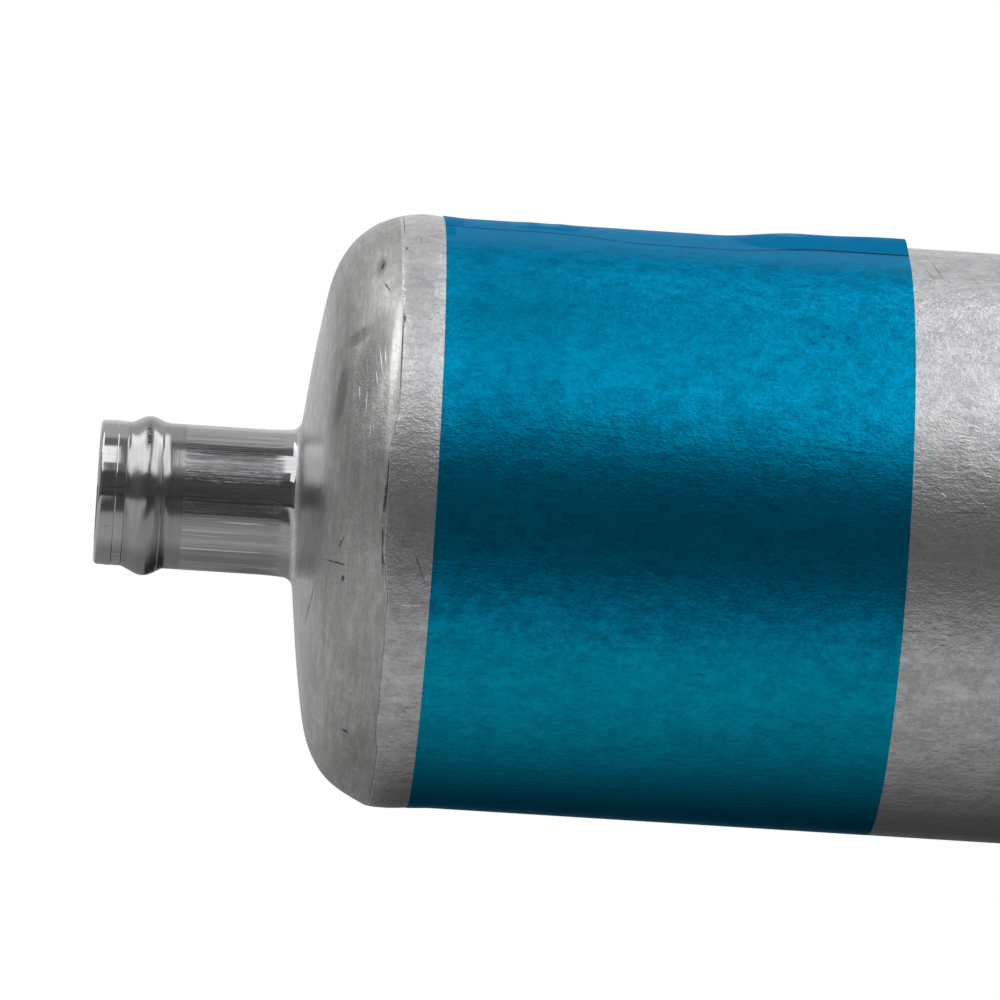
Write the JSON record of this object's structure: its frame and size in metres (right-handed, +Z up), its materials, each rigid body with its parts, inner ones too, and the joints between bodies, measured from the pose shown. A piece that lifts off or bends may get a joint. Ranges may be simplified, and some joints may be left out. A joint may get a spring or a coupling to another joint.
{
  "type": "electric fuel pump",
  "caption": "Inline electric fuel pump: extruded can with beaded hose spigot, film band, gear stage, motor, end cover, terminals and threaded outlet with non-return valve.",
  "frame": {"origin": "on the pump's axis, in the middle of the can's straight wall, where its band clamp holds it", "axes": "+X along the pump's axis from the inlet spigot to the outlet thread, +Z up with the two terminals level"},
  "size_m": [0.1885, 0.0607, 0.0611],
  "materials": {
    "bare_aluminium": "bare extruded, turned spigot, fine axial scuffs",
    "blue_film": "tinted see-through film over bare metal, glossy",
    "steel_gauze": "fine wire gauze",
    "sintered_iron": "ground sintered iron",
    "hardened_steel": "ground",
    "zinc_plated_steel": "bright zinc plate",
    "sintered_bronze": "oil-filled sintered bronze",
    "copper": "bare or enamelled copper",
    "ferrite": "matt ground ferrite",
    "brush_carbon": "matt pressed carbon",
    "seal_rubber": "moulded fluorocarbon rubber",
    "black_plastic": "moulded glass-filled plastic",
    "natural_plastic": "moulded natural plastic"
  },
  "bodies": {
    "housing": {"pump_can": "bare_aluminium", "inlet_spigot": "bare_aluminium", "blue_wrap": "blue_film", "inlet_strainer": "steel_gauze", "intake_plate": "sintered_iron", "intake_o_ring": "seal_rubber", "pump_ring": "sintered_iron", "port_plate": "sintered_iron", "pump_screw_1": "zinc_plated_steel", "pump_screw_2": "zinc_plated_steel", "pump_screw_3": "zinc_plated_steel", "pump_dowel_1": "hardened_steel", "pump_dowel_2": "hardened_steel", "relief_plug": "hardened_steel", "relief_spring": "hardened_steel", "flux_tube": "zinc_plated_steel", "magnet_north": "ferrite", "magnet_south": "ferrite", "magnet_clip_right": "hardened_steel", "magnet_clip_left": "hardened_steel", "front_bearing": "sintered_bronze", "rear_bearing": "sintered_bronze", "brush_holder": "natural_plastic", "brush_spring_positive": "hardened_steel", "brush_spring_negative": "hardened_steel", "choke_positive": "ferrite", "choke_negative": "ferrite", "end_cover": "black_plastic", "end_cover_seal": "seal_rubber", "terminal_stud_positive": "zinc_plated_steel", "terminal_base_nut_positive": "zinc_plated_steel", "terminal_washer_positive": "zinc_plated_steel", "terminal_nut_positive": "zinc_plated_steel", "terminal_stud_negative": "zinc_plated_steel", "terminal_base_nut_negative": "zinc_plated_steel", "terminal_washer_negative": "zinc_plated_steel", "terminal_nut_negative": "zinc_plated_steel", "outlet_fitting": "zinc_plated_steel", "outlet_washer": "copper", "check_spring": "hardened_steel", "check_stop": "hardened_steel"},
    "armature": {"armature_shaft": "hardened_steel", "armature_core": "sintered_iron", "armature_winding": "copper", "commutator": "copper", "thrust_washer_front": "natural_plastic", "thrust_washer_rear": "natural_plastic", "drive_coupling": "natural_plastic", "inner_rotor": "sintered_iron"},
    "outer_rotor": {"outer_rotor": "sintered_iron"},
    "relief_ball": {"relief_ball": "hardened_steel"},
    "check_plunger": {"check_plunger": "natural_plastic"},
    "brush_positive": {"brush_positive": "brush_carbon"},
    "brush_negative": {"brush_negative": "brush_carbon"}
  },
  "joints": [
    {"name": "armature_spin", "type": "hinge", "parent": "housing", "child": "armature", "pos_m": [0, 0, 0], "axis": [1, 0, 0], "continuous": true},
    {"name": "outer_rotor_spin", "type": "hinge", "parent": "housing", "child": "outer_rotor", "pos_m": [-0.0505, 0.0015, 0], "axis": [1, 0, 0], "continuous": true},
    {"name": "relief_valve", "type": "slide", "parent": "housing", "child": "relief_ball", "axis": [-1, 0, 0], "range_m": [0, 0.0015], "stiffness_N_per_m": 800, "springref_m": -0.004, "deforming": ["relief_spring"]},
    {"name": "check_valve", "type": "slide", "parent": "housing", "child": "check_plunger", "axis": [1, 0, 0], "range_m": [0, 0.0025], "stiffness_N_per_m": 200, "springref_m": -0.003, "deforming": ["check_spring"]},
    {"name": "brush_positive_slide", "type": "slide", "parent": "housing", "child": "brush_positive", "axis": [0, 0, 1], "range_m": [0, 0.0025], "stiffness_N_per_m": 300, "springref_m": -0.005, "deforming": ["brush_spring_positive"]},
    {"name": "brush_negative_slide", "type": "slide", "parent": "housing", "child": "brush_negative", "axis": [0, 0, -1], "range_m": [0, 0.0025], "stiffness_N_per_m": 300, "springref_m": -0.005, "deforming": ["brush_spring_negative"]}
  ],
  "couplings": [
    {"joint": "outer_rotor_spin", "follows": "armature_spin", "ratio": 0.85714}
  ]
}
